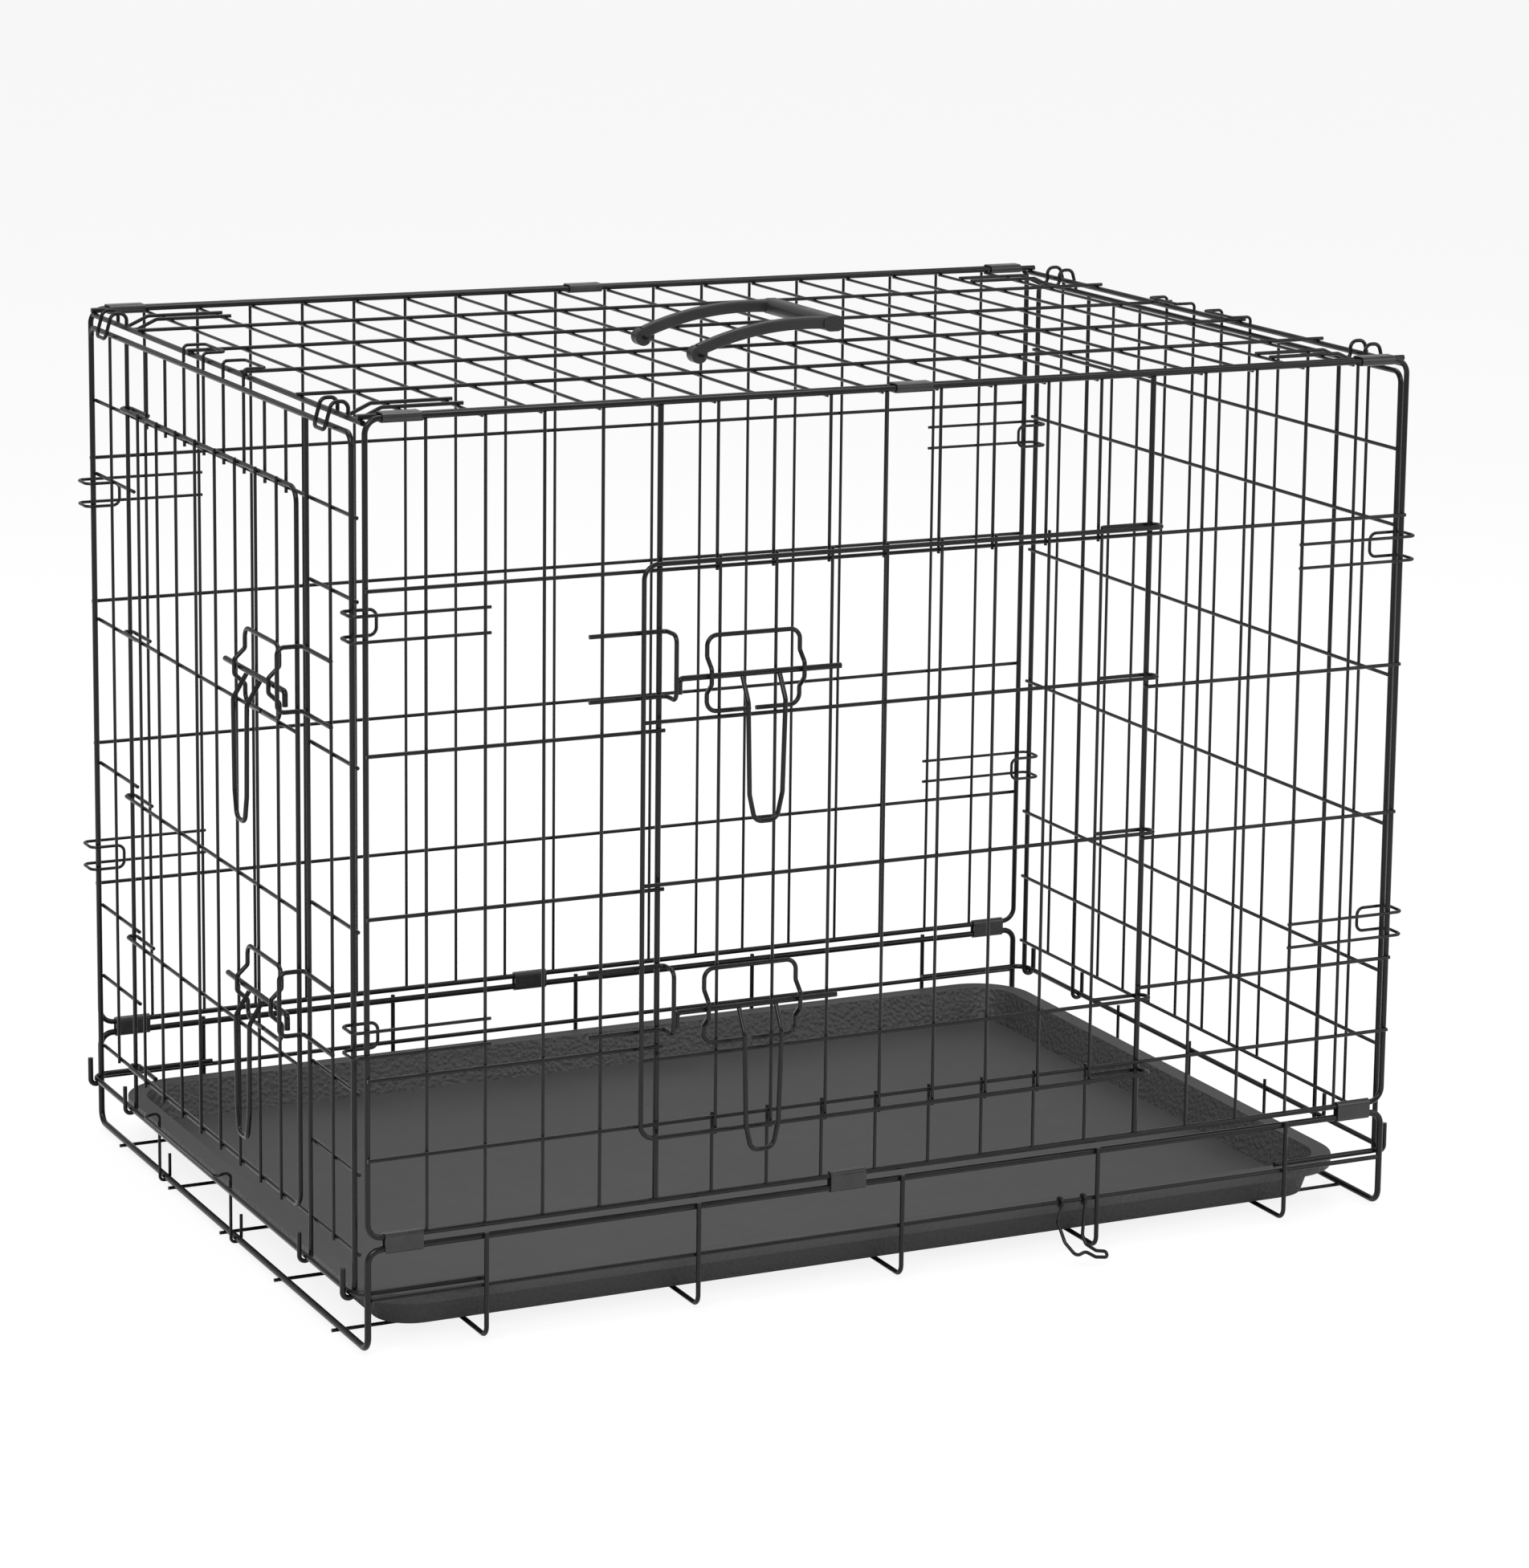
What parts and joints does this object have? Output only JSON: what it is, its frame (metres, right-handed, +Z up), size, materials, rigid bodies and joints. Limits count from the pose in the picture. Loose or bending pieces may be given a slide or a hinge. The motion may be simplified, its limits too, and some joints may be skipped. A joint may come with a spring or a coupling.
{
  "type": "folding wire dog crate",
  "caption": "Rectangular folding wire crate with a door in one long side and one end, slide bolts, a carrying handle on top and a shallow plastic tray.",
  "frame": {"origin": "on the floor, below the middle of the wire box", "axes": "+X along the length towards the closed end, +Y towards the back panel, +Z up; the long door side faces -Y and the end door faces -X"},
  "size_m": [0.802, 0.5874, 0.6266],
  "materials": {
    "black_wire": "smooth black powder coat with a soft sheen",
    "clip_steel": "black coated folded sheet",
    "tray_plastic": "fine grained dark grey moulding",
    "handle_plastic": "satin black moulding"
  },
  "bodies": {
    "crate": {"base_rim": "black_wire", "base_cross_wires": "black_wire", "base_floor_wires": "black_wire", "base_side_wires": "black_wire", "base_left_hoop": "black_wire", "base_right_hoop": "black_wire", "front_panel_frame": "black_wire", "front_panel_uprights": "black_wire", "front_panel_rows": "black_wire", "front_corner_locks": "black_wire", "back_panel_frame": "black_wire", "back_panel_uprights": "black_wire", "back_panel_rows": "black_wire", "back_corner_locks": "black_wire", "top_rails": "black_wire", "top_end_rails": "black_wire", "top_cross_wires": "black_wire", "top_long_wires": "black_wire", "top_corner_catches": "black_wire", "left_panel_frame": "black_wire", "left_panel_uprights": "black_wire", "left_panel_rows": "black_wire", "left_panel_hooks": "black_wire", "right_panel_frame": "black_wire", "right_panel_uprights": "black_wire", "right_panel_rows": "black_wire", "right_panel_hooks": "black_wire", "front_door_keepers": "black_wire", "end_door_keepers": "black_wire", "front_top_clips": "clip_steel", "front_bottom_clips": "clip_steel", "back_top_clips": "clip_steel", "back_bottom_clips": "clip_steel"},
    "tray": {"tray": "tray_plastic"},
    "gate": {"tray_gate": "black_wire"},
    "front_door": {"front_door_frame": "black_wire", "front_door_rows": "black_wire", "front_door_uprights": "black_wire", "front_door_guides": "black_wire"},
    "end_door": {"end_door_frame": "black_wire", "end_door_rows": "black_wire", "end_door_uprights": "black_wire", "end_door_guides": "black_wire"},
    "front_upper_bolt": {"front_upper_bolt": "black_wire"},
    "front_upper_handle": {"front_upper_handle": "black_wire"},
    "front_lower_bolt": {"front_lower_bolt": "black_wire"},
    "front_lower_handle": {"front_lower_handle": "black_wire"},
    "end_upper_bolt": {"end_upper_bolt": "black_wire"},
    "end_upper_handle": {"end_upper_handle": "black_wire"},
    "end_lower_bolt": {"end_lower_bolt": "black_wire"},
    "end_lower_handle": {"end_lower_handle": "black_wire"},
    "carry_handle": {"carry_handle": "handle_plastic"},
    "fold_keeper": {"fold_keeper": "black_wire"}
  },
  "joints": [
    {"name": "tray_slide", "type": "slide", "parent": "crate", "child": "tray", "axis": [-1, 0, 0], "range_m": [-0.013, 0.004]},
    {"name": "gate_hinge", "type": "hinge", "parent": "crate", "child": "gate", "pos_m": [-0.38, 0, 0.0045], "axis": [0, 1, 0], "range_deg": [0, 5]},
    {"name": "front_door_hinge", "type": "hinge", "parent": "crate", "child": "front_door", "pos_m": [0.18, -0.275, 0.314], "axis": [0, 0, 1], "range_deg": [0, 150]},
    {"name": "end_door_hinge", "type": "hinge", "parent": "crate", "child": "end_door", "pos_m": [-0.3839, 0.18138, 0.31], "axis": [0, 0, -1], "range_deg": [0, 150]},
    {"name": "front_upper_bolt_slide", "type": "slide", "parent": "front_door", "child": "front_upper_bolt", "axis": [-1, 0, 0], "range_m": [0, 0.0185]},
    {"name": "front_upper_handle_turn", "type": "hinge", "parent": "front_upper_bolt", "child": "front_upper_handle", "pos_m": [-0.11375, -0.2872, 0.429], "axis": [-1, 0, 0], "range_deg": [0, 140]},
    {"name": "front_lower_bolt_slide", "type": "slide", "parent": "front_door", "child": "front_lower_bolt", "axis": [-1, 0, 0], "range_m": [0, 0.0185]},
    {"name": "front_lower_handle_turn", "type": "hinge", "parent": "front_lower_bolt", "child": "front_lower_handle", "pos_m": [-0.11375, -0.2872, 0.208], "axis": [-1, 0, 0], "range_deg": [0, 140]},
    {"name": "end_upper_bolt_slide", "type": "slide", "parent": "end_door", "child": "end_upper_bolt", "axis": [0, -1, 0], "range_m": [0, 0.0185]},
    {"name": "end_upper_handle_turn", "type": "hinge", "parent": "end_upper_bolt", "child": "end_upper_handle", "pos_m": [-0.3961, -0.11514, 0.4165], "axis": [0, 1, 0], "range_deg": [0, 140]},
    {"name": "end_lower_bolt_slide", "type": "slide", "parent": "end_door", "child": "end_lower_bolt", "axis": [0, -1, 0], "range_m": [0, 0.0185]},
    {"name": "end_lower_handle_turn", "type": "hinge", "parent": "end_lower_bolt", "child": "end_lower_handle", "pos_m": [-0.3961, -0.11514, 0.202], "axis": [0, 1, 0], "range_deg": [0, 140]},
    {"name": "carry_handle_hinge", "type": "hinge", "parent": "crate", "child": "carry_handle", "pos_m": [-0.06, -0.02, 0.60415], "axis": [0, -1, 0], "range_deg": [0, 150]},
    {"name": "fold_keeper_hinge", "type": "hinge", "parent": "crate", "child": "fold_keeper", "pos_m": [0.132, -0.27555, 0.038], "axis": [-1, 0, 0], "range_deg": [0, 100]}
  ]
}
